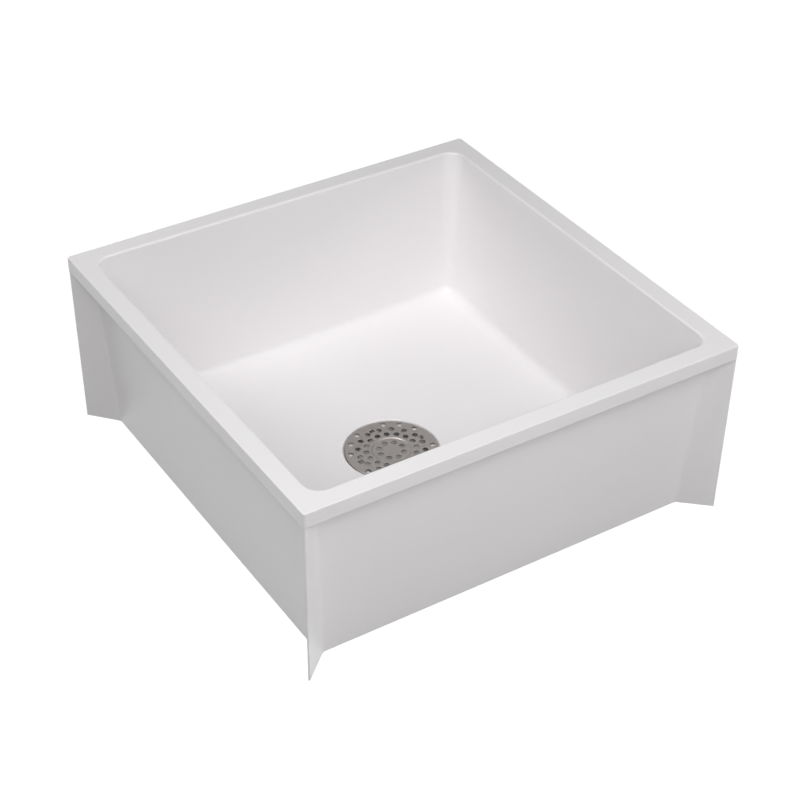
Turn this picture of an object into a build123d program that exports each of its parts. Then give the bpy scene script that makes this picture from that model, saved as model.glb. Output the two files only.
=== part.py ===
"""Mop sink: a square moulded basin that stands on the floor over a 3 in waste pipe.

Millimetres, +Z up. The origin is the middle of the footprint, on the ground. The basin is one moulding of
nearly even wall: a well with a dished floor, a flat rim with a downturned band, a skirt that carries the
walls on down to the ground, and a thin fin under each corner of the rim. Its drain is moulded in one with
the floor. A pressed strainer lies in the drain's recess and lifts out. A rubber seal for the waste pipe is
held up against the drain from below by a ring and screws.
"""
from build123d import *
import os
from math import radians, sqrt, tan

# Basin, overall
WIDTH = 609.6                # square, over the rim
HEIGHT = 252.0
WALL = 4.5                   # measured level through walls and straight down through the floor
DRAFT = 3.3                  # degrees: walls and skirt lean in towards the ground

# Rim
RIM_WIDTH = 26.0             # outer face to inner wall, at the top
RIM_CORNER_R = 4.0           # in plan
RIM_OUTER_EDGE_R = 1.0
RIM_INNER_EDGE_R = 3.0
BAND_HEIGHT = 20.0           # downturned edge, from the rim's top
BAND_LIP_R = 1.2             # lower edges of the band

# Corner fins
FIN_NOSE_T = 2.6             # thickness at the outer edge
FIN_FLARE = 3.0              # degrees: each side spreads towards the skirt
FIN_SETBACK = 0.3            # nose behind the band's corner, along the diagonal
FIN_DRAFT = 0.8              # degrees: the nose leans in towards the ground
FIN_FILLET_R = 10.0          # fin to skirt

# Well and its floor
WELL_CORNER_R = 21.5         # upright inner corners, at the mouth
FOOT_CORNER_R = 13.5         # the same corners, at the floor
FLOOR_FILLET_R = 12.7        # floor to wall
FLOOR_SLOPE = 2.6            # degrees: the floor is a shallow cone, down to the flat round the drain
LANDING_MARGIN = 6.0         # flat round the drain's recess

# Hollow under the floor
SKIRT_FOOT_T = 3.5           # skirt at the ground
UNDER_DRAFT = 1.0            # degrees: the hollow narrows upwards, so that the moulding leaves its tool
RIB_T = 4.0                  # four ribs, in line with the fins

# Drain, moulded into the floor
SEAT_WIDTH = 12.5            # ledge under the strainer
RECESS_DEPTH = 4.3           # floor's flat to ledge
RECESS_EDGE_R = 1.5
HUB_COLLAR_T = 4.5
HUB_COLLAR_DROP = 2.5        # below the ledge's underside
HUB_BOSS_R = 5.0
HUB_RING_GAP = 3.0           # round the retainer, to the wall that stands on the ground about it

# Seal for the waste pipe
PIPE_OD = 88.9
SEAL_T = 7.4                 # rubber between pipe and drain
SEAL_FIT = 0.1               # seal to drain bore, radial
SEAL_RISE = 3.5              # sleeve above the flange
SEAL_LEAD_IN = 0.6           # chamfer that the pipe enters by
SEAL_FLANGE_T = 2.0
SEAL_FLANGE_SETBACK = 0.5    # flange's edge inside the retainer's edge

# Retainer and its screws
RETAINER_T = 1.2
RETAINER_LAP = 4.9           # ring under the seal's sleeve
RETAINER_MARGIN = 6.0        # screw centre to the ring's outer edge
SCREW_COUNT = 6
SCREW_R = 1.75
SCREW_LENGTH = 8.0           # under the head
SCREW_THREAD_FIT = 0.05      # shank to boss, radial
SCREW_CLEARANCE = 0.45       # shank to ring and seal, radial
SCREW_TIP_GAP = 0.4
SCREW_TIP_CHAMFER = 0.5
SCREW_HEAD_R = 3.5
SCREW_HEAD_H = 1.5
SCREW_HEAD_EDGE_R = 0.6
SCREW_GROUND_GAP = 0.3
SCREW_SLOT_W = 1.0
SCREW_SLOT_DEPTH = 0.8

# Strainer, pressed from sheet
STRAINER_T = 1.2
STRAINER_GAP = 1.5           # in the recess, radial
STRAINER_RISE = 3.4          # top above the ledge that its edge stands on
STRAINER_BEND_R = 0.8        # inside every bend
STRAINER_TURN = 2.2          # degrees: how it lies in the recess
DISH_R = 25.4                # sunken middle
DISH_DEPTH = 1.2
DISH_SLOPE = 1.6             # level width of the step round the dish
HOLE_R = 4.0
HOLE_EDGE_MARGIN = 7.65      # outer ring's hole centres inside the plate's edge, over the drain's ledge
RING_STEP = 10.75            # from one ring of holes to the next
RING_HOLES = 16
DISH_RING_R = 16.7
DISH_RING_HOLES = 8

# Clips, cut from the strainer's sheet and bent down into the drain
CLIP_COUNT = 4
CLIP_W = 6.2
CLIP_DROP = 5.0              # below the sheet
CLIP_FIT = 0.3               # clip to drain bore, radial
CLIP_SIDE_GAP = 0.4          # cut beside the clip
CLIP_TIP_GAP = 1.5           # cut past the clip's tip, before it was bent

# Places worked out from the sizes above
HALF = WIDTH / 2
LEAN = tan(radians(DRAFT))
RETAINER_Z = SCREW_GROUND_GAP + SCREW_HEAD_H
SEAL_Z = RETAINER_Z + RETAINER_T
HUB_Z = SEAL_Z + SEAL_FLANGE_T
LEDGE_UNDER_Z = HUB_Z + HUB_COLLAR_DROP
SEAT_Z = LEDGE_UNDER_Z + WALL
LANDING_Z = SEAT_Z + RECESS_DEPTH
PIPE_R = PIPE_OD / 2
SEAL_R = PIPE_R + SEAL_T
BORE_R = SEAL_R + SEAL_FIT
RECESS_R = BORE_R + SEAT_WIDTH
LANDING_R = RECESS_R + RECESS_EDGE_R + LANDING_MARGIN
FLOOR_EDGE_R = sqrt(2) * HALF                          # past the well's corners
FLOOR_EDGE_Z = LANDING_Z + (FLOOR_EDGE_R - LANDING_R) * tan(radians(FLOOR_SLOPE))
COLLAR_R = BORE_R + HUB_COLLAR_T
SCREW_CIRCLE_R = COLLAR_R + HUB_BOSS_R - SCREW_R
RETAINER_R = SCREW_CIRCLE_R + RETAINER_MARGIN
HUB_RING_R = RETAINER_R + HUB_RING_GAP
STRAINER_R = RECESS_R - STRAINER_GAP
OUTER_RING_R = STRAINER_R - HOLE_EDGE_MARGIN
MIDDLE_RING_R = OUTER_RING_R - RING_STEP
INNER_RING_R = MIDDLE_RING_R - RING_STEP
PLATE_Z = SEAT_Z + STRAINER_RISE - STRAINER_T / 2      # middle of the strainer's sheet
BEND_R = STRAINER_BEND_R + STRAINER_T / 2              # middle of the sheet round a bend
CLIP_R = BORE_R - CLIP_FIT - STRAINER_T / 2            # middle of a clip's leg
PAST = 5.0                                             # how far a cut runs past what it cuts
NEAR = 0.01                                            # how close counts as the same place


def well_half(z):
    """Half the well's width at height z."""
    return HALF - RIM_WIDTH - (HEIGHT - z) * LEAN


def skirt_half(z):
    """Half the width over the walls and skirt at height z."""
    return well_half(z) + WALL


def under_half(z):
    """Half the width of the hollow inside the skirt at height z."""
    return skirt_half(0) - SKIRT_FOOT_T - z * tan(radians(UNDER_DRAFT))


def well_corner_r(z):
    """Radius of the well's upright corners at height z."""
    share = (z - LANDING_Z) / (HEIGHT - LANDING_Z)
    return FOOT_CORNER_R + (WELL_CORNER_R - FOOT_CORNER_R) * share


def square_face(half, corner_r, z):
    """A level square, with its corners rounded unless corner_r is zero."""
    side = 2 * half
    square = RectangleRounded(side, side, corner_r) if corner_r else Rectangle(side, side)
    return Pos(0, 0, z) * square


def square_block(half_at, corner_at, z_low, z_high):
    """A square block whose half width and corner radius at each height come from half_at and corner_at."""
    faces = [square_face(half_at(z), corner_at(z), z) for z in (z_low, z_high)]
    return loft(faces, ruled=True)


def rod(radius, z_low, z_high):
    """An upright cylinder."""
    return extrude(Pos(0, 0, z_low) * Circle(radius), z_high - z_low)


def tube(outer_r, inner_r, z_low, z_high):
    """An upright ring of plain section."""
    return rod(outer_r, z_low, z_high) - rod(inner_r, z_low, z_high)


def turned(face):
    """A solid turned about the drain's axis from a section drawn in radius and height."""
    return revolve(Plane.XZ * face, Axis.Z)


def around(count, radius, start=0.0):
    """Places evenly round the drain's axis, each facing outwards."""
    return [Rot(0, 0, start + k * 360 / count) * Pos(radius, 0, 0) for k in range(count)]


def fin():
    """An upright web on the diagonal, from its round nose into the wall behind it."""
    band_z = HEIGHT - BAND_HEIGHT
    band_corner = sqrt(2) * HALF - (sqrt(2) - 1) * RIM_CORNER_R
    nose_r = FIN_NOSE_T / 2

    def section(z):
        nose = band_corner - FIN_SETBACK - (band_z - z) * tan(radians(FIN_DRAFT))
        centre = nose - nose_r
        root = sqrt(2) * (skirt_half(z) - WALL)
        root_half = nose_r + (centre - root) * tan(radians(FIN_FLARE))
        corners = [(root, -root_half), (centre, -nose_r), (centre, nose_r), (root, root_half)]
        return Pos(0, 0, z) * (make_face(Polyline(*corners, close=True)) + Pos(centre, 0) * Circle(nose_r))

    return Rot(0, 0, 45) * loft([section(0), section(HEIGHT - WALL / 2)], ruled=True)


def walls_and_fins():
    """The block that the well is cut from, with the fins blended into its corners."""
    block = square_block(skirt_half, lambda z: 0, 0, HEIGHT)
    web = fin()
    for quarter in range(4):
        block += Rot(0, 0, 90 * quarter) * web

    def at_fin_root(edge):
        low, high = sorted((edge @ 0, edge @ 1), key=lambda end: end.Z)
        out = [max(abs(end.X), abs(end.Y)) - skirt_half(end.Z) for end in (low, high)]
        return high.Z - low.Z > BAND_HEIGHT and max(map(abs, out)) < NEAR

    return fillet(block.edges().filter_by(at_fin_root), FIN_FILLET_R)


def rim():
    """Flat top and downturned band, as an upturned tray."""
    band_z = HEIGHT - BAND_HEIGHT
    slab = extrude(square_face(HALF, RIM_CORNER_R, band_z), BAND_HEIGHT)
    slab = fillet(slab.edges().group_by(Axis.Z)[-1], RIM_OUTER_EDGE_R)
    channel_corner_r = max(RIM_CORNER_R - WALL, WALL / 2)
    tray = slab - extrude(square_face(HALF - WALL, channel_corner_r, band_z), BAND_HEIGHT - WALL)
    return fillet(tray.edges().group_by(Axis.Z)[0], BAND_LIP_R)


def over_floor(drop):
    """The space over the floor; drop lowers it to the floor's underside."""
    landing_z = LANDING_Z - drop
    edge_z = FLOOR_EDGE_Z - drop
    outline = Polyline(
        (0, landing_z), (LANDING_R, landing_z), (FLOOR_EDGE_R, edge_z), (FLOOR_EDGE_R, HEIGHT + PAST),
        (0, HEIGHT + PAST), close=True,
    )
    return turned(make_face(outline))


def well():
    """The space inside the basin, rounded where floor meets wall."""
    space = square_block(well_half, well_corner_r, LANDING_Z, HEIGHT + PAST) & over_floor(0)

    def at_foot(edge):
        middle = edge.center()
        out = max(abs(middle.X), abs(middle.Y))
        return middle.Z < FLOOR_EDGE_Z and out > well_half(LANDING_Z) - FOOT_CORNER_R

    return fillet(space.edges().filter_by(at_foot), FLOOR_FILLET_R)


def under_floor():
    """The hollow between floor, skirt and drain, open to the ground, with the ribs left standing in it."""
    top_z = FLOOR_EDGE_Z - WALL
    hollow = square_block(under_half, well_corner_r, 0, top_z) - over_floor(WALL)
    hollow -= rod(max(HUB_RING_R, RECESS_R) + WALL, 0, top_z)
    length = sqrt(2) * WIDTH
    for turn in (45, 135):
        hollow -= Rot(0, 0, turn) * Pos(0, 0, top_z / 2) * Box(length, RIB_T, top_z)
    return hollow


def hub_hollow():
    """The hollow under the drain, with the collar and screw bosses left hanging in it."""
    hollow = rod(HUB_RING_R, 0, LEDGE_UNDER_Z) - tube(COLLAR_R, BORE_R, HUB_Z, LEDGE_UNDER_Z)
    for place in around(SCREW_COUNT, SCREW_CIRCLE_R):
        hollow -= place * rod(HUB_BOSS_R, HUB_Z, LEDGE_UNDER_Z)
    return hollow


def screw_holes(radius, z_low, z_high):
    """Round holes on the screws' circle."""
    return Part() + [place * rod(radius, z_low, z_high) for place in around(SCREW_COUNT, SCREW_CIRCLE_R)]


def basin():
    """The one-piece moulding."""
    body = walls_and_fins() + rim() - well()
    mouth = body.edges().filter_by(
        lambda edge: abs(edge.center().Z - HEIGHT) < NEAR
        and max(abs(edge.center().X), abs(edge.center().Y)) < HALF - RIM_WIDTH / 2
    )
    body = fillet(mouth, RIM_INNER_EDGE_R)
    body -= rod(RECESS_R, SEAT_Z, LANDING_Z + PAST)
    recess_edge = body.edges().filter_by(GeomType.CIRCLE).filter_by(
        lambda edge: abs(edge.center().Z - LANDING_Z) < NEAR and abs(edge.radius - RECESS_R) < NEAR
    )
    body = fillet(recess_edge, RECESS_EDGE_R)
    body -= under_floor()
    body -= hub_hollow()
    body -= rod(BORE_R, -PAST, SEAT_Z + PAST)
    return body - screw_holes(SCREW_R + SCREW_THREAD_FIT, HUB_Z, RETAINER_Z + SCREW_LENGTH + SCREW_TIP_GAP)


def drain_seal():
    """Rubber sleeve round the waste pipe, with a flange that lies against the drain from below."""
    flange_r = RETAINER_R - SEAL_FLANGE_SETBACK
    top_z = HUB_Z + SEAL_RISE
    outline = Polyline(
        (PIPE_R, SEAL_Z + SEAL_LEAD_IN), (PIPE_R + SEAL_LEAD_IN, SEAL_Z), (flange_r, SEAL_Z),
        (flange_r, HUB_Z), (SEAL_R, HUB_Z), (SEAL_R, top_z), (PIPE_R, top_z), close=True,
    )
    return turned(make_face(outline)) - screw_holes(SCREW_R + SCREW_CLEARANCE, SEAL_Z, HUB_Z)


def seal_retainer():
    """Flat ring that clamps the seal's flange."""
    ring = tube(RETAINER_R, SEAL_R - RETAINER_LAP, RETAINER_Z, SEAL_Z)
    return ring - screw_holes(SCREW_R + SCREW_CLEARANCE, RETAINER_Z, SEAL_Z)


def screw():
    """One slotted pan-head screw, head down, with the underside of its head at height zero."""
    head = fillet(rod(SCREW_HEAD_R, -SCREW_HEAD_H, 0).edges().group_by(Axis.Z)[0], SCREW_HEAD_EDGE_R)
    shank = chamfer(rod(SCREW_R, 0, SCREW_LENGTH).edges().group_by(Axis.Z)[-1], SCREW_TIP_CHAMFER)
    slot_z = SCREW_SLOT_DEPTH / 2 - SCREW_HEAD_H
    return head + shank - Pos(0, 0, slot_z) * Box(2 * SCREW_HEAD_R, SCREW_SLOT_W, SCREW_SLOT_DEPTH)


def retainer_screws():
    """The six screws, each a solid of its own."""
    one = Pos(0, 0, RETAINER_Z) * screw()
    return Compound(children=[place * one for place in around(SCREW_COUNT, SCREW_CIRCLE_R)])


def plate():
    """The strainer's sheet before it is pierced: sunken middle and an edge turned down to the ledge."""
    edge_r = STRAINER_R - STRAINER_T / 2
    middle = FilletPolyline(
        (0, PLATE_Z - DISH_DEPTH), (DISH_R, PLATE_Z - DISH_DEPTH), (DISH_R + DISH_SLOPE, PLATE_Z),
        (edge_r, PLATE_Z), (edge_r, SEAT_Z), radius=BEND_R,
    )
    return turned(trace(middle, STRAINER_T))


def strainer_holes():
    """All the round holes, as one cutting body; the outer ring skips the clips' places."""
    step = 360 / RING_HOLES
    per_clip = RING_HOLES // CLIP_COUNT
    outer = [place for k, place in enumerate(around(RING_HOLES, OUTER_RING_R)) if k % per_clip]
    middle = around(RING_HOLES, MIDDLE_RING_R, step / 2)
    inner = around(RING_HOLES, INNER_RING_R)
    dish = around(DISH_RING_HOLES, DISH_RING_R)
    circles = Sketch() + [place * Circle(HOLE_R) for place in outer + middle + inner + dish]
    return extrude(Pos(0, 0, SEAT_Z) * circles, STRAINER_RISE + PAST)


def clip_window():
    """The cut in the sheet that a clip was bent down from."""
    leg_bottom = PLATE_Z - STRAINER_T / 2 - CLIP_DROP
    flat_length = PLATE_Z - leg_bottom - BEND_R + BEND_R * radians(90)
    bend_line = CLIP_R + BEND_R
    inner_end = bend_line - flat_length - CLIP_TIP_GAP
    size = (bend_line - inner_end, CLIP_W + 2 * CLIP_SIDE_GAP, STRAINER_RISE + PAST)
    return Pos((bend_line + inner_end) / 2, 0, PLATE_Z) * Box(*size)


def clip():
    """A leg bent down from the sheet, just inside the drain's bore."""
    leg_bottom = PLATE_Z - STRAINER_T / 2 - CLIP_DROP
    middle = FilletPolyline(
        (CLIP_R + BEND_R + STRAINER_T, PLATE_Z), (CLIP_R, PLATE_Z), (CLIP_R, leg_bottom), radius=BEND_R,
    )
    return extrude(Plane.XZ * trace(middle, STRAINER_T), CLIP_W / 2, both=True)


def strainer():
    """Pierced plate with its clips."""
    body = plate() - strainer_holes()
    for place in around(CLIP_COUNT, 0):
        body -= place * clip_window()
        body += place * clip()
    return Rot(0, 0, STRAINER_TURN) * body


PIECES = {
    "basin": basin,
    "strainer": strainer,
    "drain_seal": drain_seal,
    "seal_retainer": seal_retainer,
    "retainer_screws": retainer_screws,
}

if __name__ == "__main__":
    os.makedirs("parts", exist_ok=True)
    for name, make in PIECES.items():
        export_step(make(), f"parts/{name}.step")
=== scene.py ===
"""Looks of a mop sink: a white moulded basin on the floor, with a steel strainer in its drain.

Metres, +Z up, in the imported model's own frame: the origin is the middle of the footprint, on the
ground. The shapes are the CAD's own. This adds their finishes, a floor, lamps and the camera.
"""
from math import radians
import bpy
from mathutils import Matrix

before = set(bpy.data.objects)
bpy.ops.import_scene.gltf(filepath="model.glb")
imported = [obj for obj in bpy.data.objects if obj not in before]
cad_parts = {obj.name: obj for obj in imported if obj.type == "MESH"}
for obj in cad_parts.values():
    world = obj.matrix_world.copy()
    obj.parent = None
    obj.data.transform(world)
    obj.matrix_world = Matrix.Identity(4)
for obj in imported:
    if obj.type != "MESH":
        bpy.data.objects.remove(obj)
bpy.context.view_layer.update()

# Camera, solved from the rim's corners and the fins' feet
CAMERA_PLACE = (-1.0720, -1.6900, 1.5713)
CAMERA_TURN = -32.683        # degrees from +Y, about +Z
CAMERA_TILT = 53.616         # degrees up from straight down
CAMERA_ROLL = 0.628          # degrees
CAMERA_LENS = 86.26          # mm
CAMERA_FRAME = 36.0          # mm, the side of the square that the lens fills
CAMERA_REACH = 200.0         # nothing further off is drawn

# Lamps: bearing (0 in front, 90 to the right), height angle, distance, width, height and watts
LAMP_AIM = (0.0, 0.0, 0.12)
LAMPS = {
    "left": (270.0, 50.0, 2.40, 1.0, 1.0, 15.7),
    "high_left": (270.0, 70.0, 2.40, 1.0, 1.0, 9.8),
    "front": (0.0, 50.0, 2.40, 1.0, 1.0, 15.9),
    "near_front": (0.0, 35.0, 1.30, 0.6, 0.6, 1.4),
    "front_left": (330.0, 30.0, 2.40, 1.0, 1.0, 5.4),
    "front_right": (30.0, 30.0, 2.40, 1.0, 1.0, 5.2),
    "low_right": (90.0, 5.0, 2.40, 1.4, 0.4, 16.0),
    "low_back": (180.0, 5.0, 2.40, 1.4, 0.4, 16.0),
}

FLOOR_HALF = 30.0
FLOOR_LEVEL = 0.45
# White added to the floor for the camera, so that only its shadow is less than white
FLOOR_LIFT = 0.80            # by the basin
FAR_LIFT = 1.0
LIFT_FROM = 0.5              # distances over which the lift grows
LIFT_TO = 2.5
DRAIN_REACH = 0.15           # the floor nearer to the middle than this shows down the drain
DRAIN_PAINTED_GLOW = 0.12            # and is given a dim painted glow, standing in for light that falls down the drain

# Finishes. A tone is its level, and the shares of it that are added to red and to blue.
# A size is that of a noise's lumps, and a rise is how far it lifts the surface.
COAT_TONES = (0.895, 0.021, 0.008), (0.915, 0.019, 0.014)
COAT_ROUGHNESS = 0.24, 0.36
COAT_DRIFT_SIZE = 0.16
COAT_RIPPLE_SIZE = 0.07
COAT_RIPPLE_RISE = 0.00008
COAT_GRAIN_SIZE = 0.0022
COAT_GRAIN_RISE = 0.000012

STRAINER_TONES = (0.265, 0.07, -0.05), (0.315, 0.07, -0.05)
STRAINER_ROUGHNESS = 0.3, 0.46
STRAINER_CLOUD_SIZE = 0.02
STRAINER_GRAIN_SIZE = 0.006
STRAINER_GRAIN_RISE = 0.00001
STRAINER_GRAIN_STRETCH = 18.0    # its length along X over its width

# The seal's tones are paler than the rubber's own dark grey: painted light for where it sits, dim,
# down the drain
RUBBER_TONES_PAINTED_PALE = (0.50,), (0.57,)
RUBBER_ROUGHNESS = 0.62, 0.8
RUBBER_CLOUD_SIZE = 0.015
RUBBER_GRAIN_SIZE = 0.0012
RUBBER_GRAIN_RISE = 0.00003

ROLLED_TONES = (0.42,), (0.52,)
ROLLED_ROUGHNESS = 0.32, 0.5
ROLLED_CLOUD_SIZE = 0.008
ROLLED_CLOUD_RISE = 0.00002

# Numbers of the colour sockets on a Mix node, whose names repeat
MIX_FACTOR, MIX_FIRST, MIX_SECOND, MIX_RESULT = 0, 6, 7, 2


class Socket:
    """An output of a material's nodes. Arithmetic adds Math nodes, and node() adds any other."""

    def __init__(self, tree, output=None):
        self.tree = tree
        self.output = output

    def node(self, kind, values=None, give=0, **settings):
        """Adds a node, sets it, fills or links its sockets, and gives the output that is named."""
        made = self.tree.nodes.new(kind)
        for name, value in settings.items():
            setattr(made, name, value)
        for key, value in (values or {}).items():
            if isinstance(value, Socket):
                self.tree.links.new(value.output, made.inputs[key])
            else:
                made.inputs[key].default_value = value
        return Socket(self.tree, made.outputs[give]) if made.outputs else made

    def maths(self, operation, *terms):
        """A Math node on the terms."""
        return self.node("ShaderNodeMath", dict(enumerate(terms)), operation=operation)

    def __add__(self, other):
        return self.maths("ADD", self, other)

    def __sub__(self, other):
        return self.maths("SUBTRACT", self, other)

    def __rsub__(self, other):
        return self.maths("SUBTRACT", other, self)

    def __mul__(self, other):
        return self.maths("MULTIPLY", self, other)

    __radd__ = __add__
    __rmul__ = __mul__

    def over(self, low, high):
        """This value, from 0 to 1, spread from low to high."""
        return low + (high - low) * self

    def mixed(self, other, share):
        """This value and that share of the other."""
        return self * (1 - share) + other * share

    def blend(self, first, second):
        """Colour that goes from the first tone to the second as this value goes from 0 to 1."""
        ends = {MIX_FACTOR: self, MIX_FIRST: tone(*first), MIX_SECOND: tone(*second)}
        return self.node("ShaderNodeMix", ends, give=MIX_RESULT, data_type="RGBA")

    def relief(self):
        """Surface lifted by this value, in metres."""
        return self.node("ShaderNodeBump", {"Height": self, "Distance": 1.0, "Strength": 1.0})


def tone(level, red=0.0, blue=0.0):
    """A colour near grey: red and blue are shares of the level, added to those channels."""
    return (level * (1 + red), level, level * (1 + blue), 1.0)


def new_finish(name):
    """An empty material, and the coordinates of its piece, from which its nodes start."""
    material = bpy.data.materials.new(name)
    material.use_nodes = True
    material.node_tree.nodes.clear()
    place = Socket(material.node_tree).node("ShaderNodeTexCoord", give="Object")
    return material, place


def noise(place, size, detail=2.0):
    """Smooth noise from 0 to 1 whose lumps are about size metres across."""
    values = {"Vector": place, "Scale": 1 / size, "Detail": detail}
    return place.node("ShaderNodeTexNoise", values)


def principled(place, **sockets):
    """Ends a material in one Principled shader."""
    values = {name.replace("_", " "): value for name, value in sockets.items()}
    surface = place.node("ShaderNodeBsdfPrincipled", values)
    place.node("ShaderNodeOutputMaterial", {"Surface": surface})


def white_moulding():
    """White glass-fibre moulding: smooth gel coat, faintly rippled and grained by its tool."""
    material, place = new_finish("white moulding")
    drift = noise(place, COAT_DRIFT_SIZE)
    grain = noise(place, COAT_GRAIN_SIZE)
    ripple = noise(place, COAT_RIPPLE_SIZE, detail=1.0)
    height = ripple * COAT_RIPPLE_RISE + grain * COAT_GRAIN_RISE
    gloss = drift.mixed(grain, share=0.5)
    principled(place, Base_Color=drift.blend(*COAT_TONES),
               Roughness=gloss.over(*COAT_ROUGHNESS), Normal=height.relief())
    return material


def satin_steel():
    """Stainless sheet with the fine straight grain of its rolling."""
    material, place = new_finish("satin steel")
    stretch = {"Vector": place, "Scale": (1.0, STRAINER_GRAIN_STRETCH, 1.0)}
    along = place.node("ShaderNodeMapping", stretch)
    grain = noise(along, STRAINER_GRAIN_SIZE, detail=3.0)
    cloud = noise(place, STRAINER_CLOUD_SIZE)
    height = grain * STRAINER_GRAIN_RISE
    gloss = grain.mixed(cloud, share=0.4)
    principled(place, Base_Color=cloud.blend(*STRAINER_TONES), Metallic=1.0,
               Roughness=gloss.over(*STRAINER_ROUGHNESS), Normal=height.relief())
    return material


def moulded_rubber():
    """Grey rubber, matt, with a fine grain, toned paler than its own dark grey as painted light for
    the dim drain.
    """
    material, place = new_finish("moulded rubber")
    grain = noise(place, RUBBER_GRAIN_SIZE, detail=3.0)
    cloud = noise(place, RUBBER_CLOUD_SIZE)
    height = grain * RUBBER_GRAIN_RISE
    principled(place, Base_Color=cloud.blend(*RUBBER_TONES_PAINTED_PALE),
               Roughness=grain.over(*RUBBER_ROUGHNESS), Normal=height.relief())
    return material


def rolled_steel():
    """Plain steel of the retainer and the screws, rougher and paler than the strainer."""
    material, place = new_finish("rolled steel")
    cloud = noise(place, ROLLED_CLOUD_SIZE, detail=4.0)
    height = cloud * ROLLED_CLOUD_RISE
    principled(place, Base_Color=cloud.blend(*ROLLED_TONES), Metallic=1.0,
               Roughness=cloud.over(*ROLLED_ROUGHNESS), Normal=height.relief())
    return material


def seen_directly(start):
    """1 for what the camera sees, straight, by gloss or through glass, and 0 for other light."""
    sight, gloss, glass = (start.node("ShaderNodeLightPath", give=ray)
                           for ray in ("Is Camera Ray", "Is Glossy Ray", "Is Transmission Ray"))
    return start.maths("MINIMUM", sight + gloss + glass, 1.0)


def studio_floor():
    """Pale floor, white to the camera except for the shadow on it, with a dim painted glow where it
    shows down the drain.
    """
    material, place = new_finish("studio floor")
    away = place.node("ShaderNodeVectorMath", {0: place}, give="Value", operation="LENGTH")
    beside = place.maths("GREATER_THAN", away, DRAIN_REACH)
    spread = {"Value": away, "From Min": LIFT_FROM, "From Max": LIFT_TO}
    growth = place.node("ShaderNodeMapRange", spread, interpolation_type="SMOOTHSTEP")
    # Under the drain the added white is a dim painted glow, standing in for light that falls down
    # there
    lift = beside.over(DRAIN_PAINTED_GLOW, growth.over(FLOOR_LIFT, FAR_LIFT)) * seen_directly(place)
    card = place.node("ShaderNodeBsdfDiffuse", {"Color": tone(FLOOR_LEVEL)})
    white = place.node("ShaderNodeEmission", {"Color": tone(1.0), "Strength": lift})
    both = place.node("ShaderNodeAddShader", {0: card, 1: white})
    place.node("ShaderNodeOutputMaterial", {"Surface": both})
    return material


def floor():
    """One square of floor under the feet of the basin."""
    mesh = bpy.data.meshes.new("studio_floor")
    corners = (-1, -1), (1, -1), (1, 1), (-1, 1)
    points = [(x * FLOOR_HALF, y * FLOOR_HALF, 0) for x, y in corners]
    mesh.from_pydata(points, [], [range(len(points))])
    card = bpy.data.objects.new("studio_floor", mesh)
    bpy.context.collection.objects.link(card)
    mesh.materials.append(studio_floor())


def surroundings():
    """White all round to the eye, and no light from there on the object."""
    world = bpy.data.worlds.new("surroundings")
    world.use_nodes = True
    world.node_tree.nodes.clear()
    start = Socket(world.node_tree)
    sky = start.node("ShaderNodeBackground", {"Color": tone(1.0), "Strength": seen_directly(start)})
    start.node("ShaderNodeOutputWorld", {"Surface": sky})
    bpy.context.scene.world = world


def turned(degrees, axis):
    """A turn about an axis."""
    return Matrix.Rotation(radians(degrees), 4, axis)


def stood_round(bearing, angle, distance):
    """Place and turn of a lamp at a bearing and height angle round the aim, facing it."""
    turn = turned(bearing, "Z") @ turned(90 - angle, "X")
    return Matrix.Translation(LAMP_AIM) @ turn @ Matrix.Translation((0, 0, distance))


def lamps():
    """Soft boxes round the basin."""
    for name, (bearing, angle, distance, width, height, watts) in LAMPS.items():
        light = bpy.data.lights.new(name, "AREA")
        light.shape = "RECTANGLE"
        light.size, light.size_y = width, height
        light.energy = watts
        lamp = bpy.data.objects.new(name, light)
        bpy.context.collection.objects.link(lamp)
        lamp.matrix_world = stood_round(bearing, angle, distance)


def camera():
    """The photograph's viewpoint."""
    eye = bpy.data.cameras.new("camera")
    eye.lens = CAMERA_LENS
    eye.sensor_width = CAMERA_FRAME
    eye.clip_end = CAMERA_REACH
    holder = bpy.data.objects.new("camera", eye)
    bpy.context.collection.objects.link(holder)
    turn = turned(CAMERA_TURN, "Z") @ turned(CAMERA_TILT, "X") @ turned(CAMERA_ROLL, "Z")
    holder.matrix_world = Matrix.Translation(CAMERA_PLACE) @ turn
    bpy.context.scene.camera = holder


def wear(material, *nodes):
    """Gives CAD nodes their finish."""
    for node in nodes:
        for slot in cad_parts[node].material_slots:
            slot.material = material


bpy.context.scene.view_settings.view_transform = "Standard"
camera()
floor()
surroundings()
lamps()

wear(white_moulding(), "basin")
wear(satin_steel(), "strainer")
wear(moulded_rubber(), "drain_seal")
wear(rolled_steel(), "seal_retainer", "retainer_screws")
